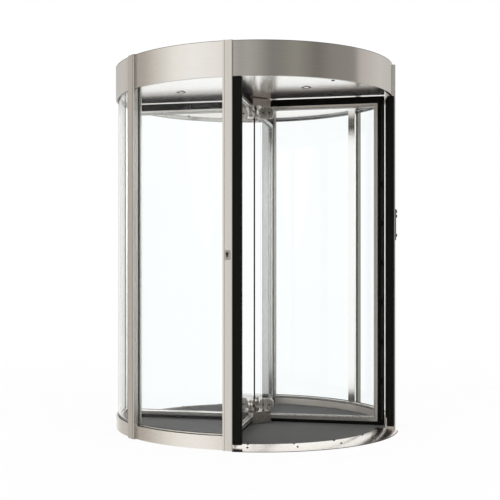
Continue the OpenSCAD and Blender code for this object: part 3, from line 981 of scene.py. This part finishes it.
outline = ((RAMP_OUT - SEALANT_W, 0.0), (RAMP_OUT + SEALANT_W, 0.0),
           (RAMP_OUT + SEALANT_W * 0.4, SEALANT_H * 0.8), (RAMP_OUT - SEALANT_W, SEALANT_H))
bm = bmesh.new()
for span in OPENINGS:
    spin_outline(bm, outline, *span_ends(span, RAMP_OUT, SEALANT_SPARE), steps=40)
# The black wedge is the sealant and also a painted contact shadow along the ramp's nose.
finish_piece("ramp_sealant_and_shadow", bm, gasket_black, "drum")

# %% [markdown]
# The cover on top is seldom seen. It is made of four sheets, so that two people can lift one off, and
# screwed down along its rim. The joints are narrow dark strips along the seams.

# %% Joints and screws on the top cover
COVER_SCREW_R = 0.868
COVER_SCREWS = 24
JOINT_W = 0.003
JOINT_T = 0.0005

cover_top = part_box("top_cover")[1].z
bm = screw(radius=0.006, height=0.0018)
copy_to(bm, [facing(360 * (i + 0.5) / COVER_SCREWS, COVER_SCREW_R, cover_top) for i in range(COVER_SCREWS)])
finish_piece("cover_screws", bm, steel_dark, "drum")

bm = bmesh.new()
rounded_bar(bm, (-JOINT_W / 2, -COVER_SCREW_R, cover_top - JOINT_T),
            (JOINT_W / 2, -JOINT_W, cover_top + JOINT_T), radius=0.0003)
copy_to(bm, [facing(azimuth) for azimuth in QUARTERS])
finish_piece("cover_joints", bm, gasket_black, "drum")

# %% [markdown]
# ## Hub and clamp plates
# The rotor is bolted together at its two hubs. Each wing's glass is held between a pair of clamp plates
# by two bolts, and the hub itself by a ring of socket screws. The bolts are copied to both faces of
# every wing. Along a wing the local X axis runs outwards and the local Y axis through the glass.

# %% Bolt the rotor together
WING_AZIMUTHS = (-45, 45, 135, 225)
PATCH_FACE = 0.017
CLAMP_BOLTS = (0.070, 0.114)
# Azimuth and radius of the screws on each quarter of the hub
HUB_SCREWS = ((0, 0.042), (-26, 0.076), (26, 0.076))


def wing(azimuth):
    """The place of a shape that was modelled along a wing, X outwards and Y through it."""
    return Matrix.Rotation(math.radians(azimuth - 90), 4, "Z")


def both_faces(radius, face, z):
    """The two places on a wing's faces, with +Z out of the face."""
    return [Matrix.Translation((radius, side * face, z)) @ Matrix.Rotation(-side * math.pi / 2, 4, "X")
            for side in (-1, 1)]


wings = [wing(azimuth) for azimuth in WING_AZIMUTHS]
for name in ("upper", "lower"):
    low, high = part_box(name + "_patches")
    middle = (low.z + high.z) / 2
    bm = screw(radius=0.0065, height=0.0035)
    copy_to(bm, [place @ face for place in wings for radius in CLAMP_BOLTS
                 for face in both_faces(radius, PATCH_FACE, middle)])
    finish_piece(name + "_clamp_bolts", bm, steel_dark, "rotor")

hub_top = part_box("lower_hub")[1].z
bm = screw(radius=0.0062, height=0.006)
copy_to(bm, [facing(quarter + azimuth, radius, hub_top)
             for quarter in QUARTERS for azimuth, radius in HUB_SCREWS])
finish_piece("hub_screws", bm, steel_dark, "rotor")

# %% [markdown]
# ## Glazing beads on the wings
# The glass of a wing is held in its frame by beads, slender strips along the frame's inner edge with
# mitred corners. Their section is a small wedge, pulled along the foot, up the stile and along the head.
# At each corner the section is moved outwards both ways at once, and that gives the mitre.

# %% Pull the glazing beads round
FRAME_FACE = 0.018
FRAME_EDGE_R = 0.8085
FOOT_BAR_H = 0.033
HEAD_BAR_H = 0.026
FOOT_START = 0.126
HEAD_START = 0.144
BEAD_W = 0.0095
BEAD_T = 0.0036

frame_low, frame_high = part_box("wing_a_frame")
foot_top = frame_low.z + FOOT_BAR_H
head_foot = frame_high.z - HEAD_BAR_H


def sweep(bm, rings):
    """Pulls a closed outline from ring to ring and leaves both ends closed."""
    face = bm.faces.new([bm.verts.new(p) for p in rings[0]])
    for ring in rings[1:]:
        made = bmesh.ops.extrude_face_region(bm, geom=[face], use_keep_orig=ring is rings[1])["geom"]
        face = next(g for g in made if isinstance(g, bmesh.types.BMFace))
        for vert, place in zip(face.verts, ring):
            vert.co = place


section = ((0.0, 0.0), (0.0, BEAD_T * 0.45), (BEAD_W * 0.82, BEAD_T), (BEAD_W, BEAD_T * 0.7), (BEAD_W, 0.0))
# Radius and height of each corner, and which way the section is moved outwards and upwards there
corners = ((FOOT_START, foot_top, 0, -1), (FRAME_EDGE_R, foot_top, 1, -1),
           (FRAME_EDGE_R, head_foot, 1, 1), (HEAD_START, head_foot, 0, 1))
bm = bmesh.new()
for side in (-1, 1):
    sweep(bm, [[(r + out * a, side * (FRAME_FACE + b), z + up * a) for a, b in section]
               for r, z, out, up in corners])
copy_to(bm, wings)
finish_piece("glazing_beads", bm, steel_bead, "rotor")

# %% [markdown]
# The frame itself is mitred too. Each mitre is a hairline across the corner, on both faces. A thin dark
# bar right through the frame shows as that line. It is wider than the real joint and paints the change
# of shade along the mitre.

# %% Draw the mitres
FRAME_OUT = 0.8355
MITRE_W = 0.0016
MITRE_PROUD = 0.0003
MITRE_INSET = 0.001

deep = FRAME_FACE + MITRE_PROUD
bm = bmesh.new()
for inner_z, outer_z in ((foot_top, frame_low.z), (head_foot, frame_high.z)):
    along = Vector((FRAME_OUT - FRAME_EDGE_R, 0.0, outer_z - inner_z))
    middle = Vector((FRAME_EDGE_R, 0.0, inner_z)) + along / 2
    half = along.length / 2 - MITRE_INSET
    place = Matrix.Translation(middle) @ Matrix.Rotation(-math.atan2(along.z, along.x), 4, "Y")
    rounded_bar(bm, (-half, -deep, -MITRE_W / 2), (half, deep, MITRE_W / 2), radius=0.0002, place=place)
copy_to(bm, wings)
# The dark bar is partly the mitre joint and partly painted shade.
finish_piece("frame_mitres_and_shade", bm, gasket_black, "rotor")

# %% [markdown]
# ## Brushes and ribs on the wings
# A brush under each wing closes the gap to the mat, and one on top of it the gap to the ceiling. It is a
# dense row of black bristles. The lower one ends just above the pile and the upper one just under the rims
# of the lamps.

# %% Set the brushes
SEAL_FOOT = 0.037
BRUSH_START = 0.126
BRUSH_END = 0.874
BRUSH_FACE = 0.006
BRUSH_BITE = 0.002
MAT_GAP = 0.006
LAMP_GAP = 0.0044

bristle, tree, shader = material("bristle")
hairs = noise(tree, 900, stretch=(1.0, 1.0, 0.04))
tones = two_tones(tree, hairs, (0.002, 0.002, 0.002), (0.007, 0.007, 0.0065))
tree.links.new(tones, shader.inputs["Base Color"])
tree.links.new(between(tree, hairs, 0.7, 0.9), shader.inputs["Roughness"])
shader.inputs["Specular IOR Level"].default_value = 0.06
relief(tree, shader, hairs, 0.0006)

seal_low, seal_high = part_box("wing_a_seals")
BRUSHES = (
    ("foot_brushes", mat_top + MAT_GAP, SEAL_FOOT + BRUSH_BITE),
    ("head_brushes", seal_high.z - BRUSH_BITE, ceiling_z - LAMP_GAP),
)
for name, low, high in BRUSHES:
    bm = bmesh.new()
    rounded_bar(bm, (BRUSH_START, -BRUSH_FACE, low), (BRUSH_END, BRUSH_FACE, high), radius=0.002)
    copy_to(bm, wings)
    finish_piece(name, bm, bristle, "rotor")

# %% [markdown]
# Along the upright seals a rib holds the rubber in its channel. It comes in lengths with a gap between
# them, so the ribs are short bars in a row up the seal.

# %% Set the ribs
SEAL_FACE = 0.010
RIB_IN = 0.856
RIB_OUT = 0.868
RIB_T = 0.0016
RIB_FOOT = 0.03
RIB_HEAD = 0.05
RIB_GAPS = (0.321, 0.582, 0.843, 1.103, 1.363, 1.621)
RIB_GAP = 0.040

ends = [seal_low.z + RIB_FOOT]
for z in RIB_GAPS:
    ends += [z - RIB_GAP / 2, z + RIB_GAP / 2]
ends.append(seal_high.z - RIB_HEAD)
bm = bmesh.new()
for low, high in zip(ends[::2], ends[1::2]):
    rounded_bar(bm, (RIB_IN, -SEAL_FACE - RIB_T, low), (RIB_OUT, SEAL_FACE + RIB_T, high), radius=0.0012)
copy_to(bm, wings)
finish_piece("seal_ribs", bm, rib_black, "rotor")

# %% [markdown]
# ## Lock and buttons
# The lock on the left post is a common profile cylinder: a round face with a narrower tail under it. Its
# plug is a small disc with a chamfer, and the key goes into a slot across it. The slot is a black bar
# standing on the plug, which paints the shade inside the keyhole. All three are modelled flat
# at the origin and carried to the post.

# %% Fit the lock
LEFT_POST = -45
PLATE_T = 0.0065
PROUD = 0.006
LOCK_R = 0.0085
LOCK_H = 0.033
LOCK_SUNK = 0.001
TAIL_SIDE = 0.0048
PLUG_R = 0.0052
SLOT_SIDE = 0.0009
SLOT_END = 0.0038


def on_post(azimuth, z, across=0.0, up=0.0, out=0.0):
    """A place on a post's outer face, with +Z out of it and +Y up."""
    place = facing(azimuth) @ Matrix.Translation((across, -POST_OUT - out, z + up))
    return place @ Matrix.Rotation(math.pi / 2, 4, "X")


key_low, key_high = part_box("key_switch")
key_z = (key_low.z + key_high.z) / 2
lock_up = LOCK_H / 2 - LOCK_R
lock_place = on_post(LEFT_POST, key_z, 0.0, lock_up, PLATE_T + PROUD)
bm = bmesh.new()
turned(bm, ((0.0, -LOCK_SUNK), (LOCK_R, -LOCK_SUNK), (LOCK_R, 0.0003), (LOCK_R - 0.0004, 0.0006),
            (0.0, 0.0006)), segments=28)
rounded_bar(bm, (-TAIL_SIDE, -2 * lock_up - 0.0035, -LOCK_SUNK), (TAIL_SIDE, -0.004, 0.0006), radius=0.0003)
bmesh.ops.transform(bm, matrix=lock_place, verts=bm.verts)
finish_piece("lock_face", bm, lock_grey, "drum")

bm = bmesh.new()
turned(bm, ((0.0, -LOCK_SUNK), (PLUG_R, -LOCK_SUNK), (PLUG_R, 0.0008), (PLUG_R - 0.0006, 0.0012),
            (0.0, 0.0012)), segments=24)
bmesh.ops.transform(bm, matrix=lock_place, verts=bm.verts)
finish_piece("lock_plug", bm, steel_dark, "drum")

# The black slot bar is painted shade: it stands on the plug where the keyhole's dark opening would be.
bm = bmesh.new()
rounded_bar(bm, (-SLOT_SIDE, -SLOT_END, -LOCK_SUNK), (SLOT_SIDE, SLOT_END, 0.0015), radius=0.0003)
bmesh.ops.transform(bm, matrix=lock_place, verts=bm.verts)
finish_piece("keyhole_painted_shade", bm, seal_black, "drum")

# %% [markdown]
# The plate of the lock is held by two small screws, and the plate with the buttons on the right post by
# four. The buttons carry low caps in a dark finish: one at the foot of the plate and a pair near its top.

# %% Fit the plate screws and the button caps
RIGHT_POST = 45
KEY_SCREW_INSET = 0.0055
PLATE_SCREW_SIDE = 0.016
PLATE_SCREW_INSET = 0.007
END_INSET = 0.031
PAIR_PITCH = 0.031
CAP_R = 0.0085
CAP_SUNK = 0.001

plate_low, plate_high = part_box("control_plate")
plate_z = (plate_low.z + plate_high.z) / 2
plate_end = (plate_high.z - plate_low.z) / 2
key_up = (key_high.z - key_low.z) / 2 - KEY_SCREW_INSET
plate_up = plate_end - PLATE_SCREW_INSET
bm = screw(radius=0.0024, height=0.0007)
copy_to(bm, [on_post(LEFT_POST, key_z, 0.0, side * key_up, PLATE_T) for side in (-1, 1)]
        + [on_post(RIGHT_POST, plate_z, side * PLATE_SCREW_SIDE, up * plate_up, PLATE_T)
           for side in (-1, 1) for up in (-1, 1)])
finish_piece("plate_screws", bm, steel_dark, "drum")

button_end = plate_end - END_INSET
bm = bmesh.new()
turned(bm, ((0.0, -CAP_SUNK), (CAP_R, -CAP_SUNK), (CAP_R, 0.0002), (CAP_R - 0.0009, 0.0005),
            (0.0045, 0.0006), (0.0, 0.0006)), segments=24)
copy_to(bm, [on_post(RIGHT_POST, plate_z, 0.0, up, PLATE_T + PROUD)
             for up in (-button_end, button_end - PAIR_PITCH / 2, button_end + PAIR_PITCH / 2)])
finish_piece("button_caps", bm, rib_black, "drum")
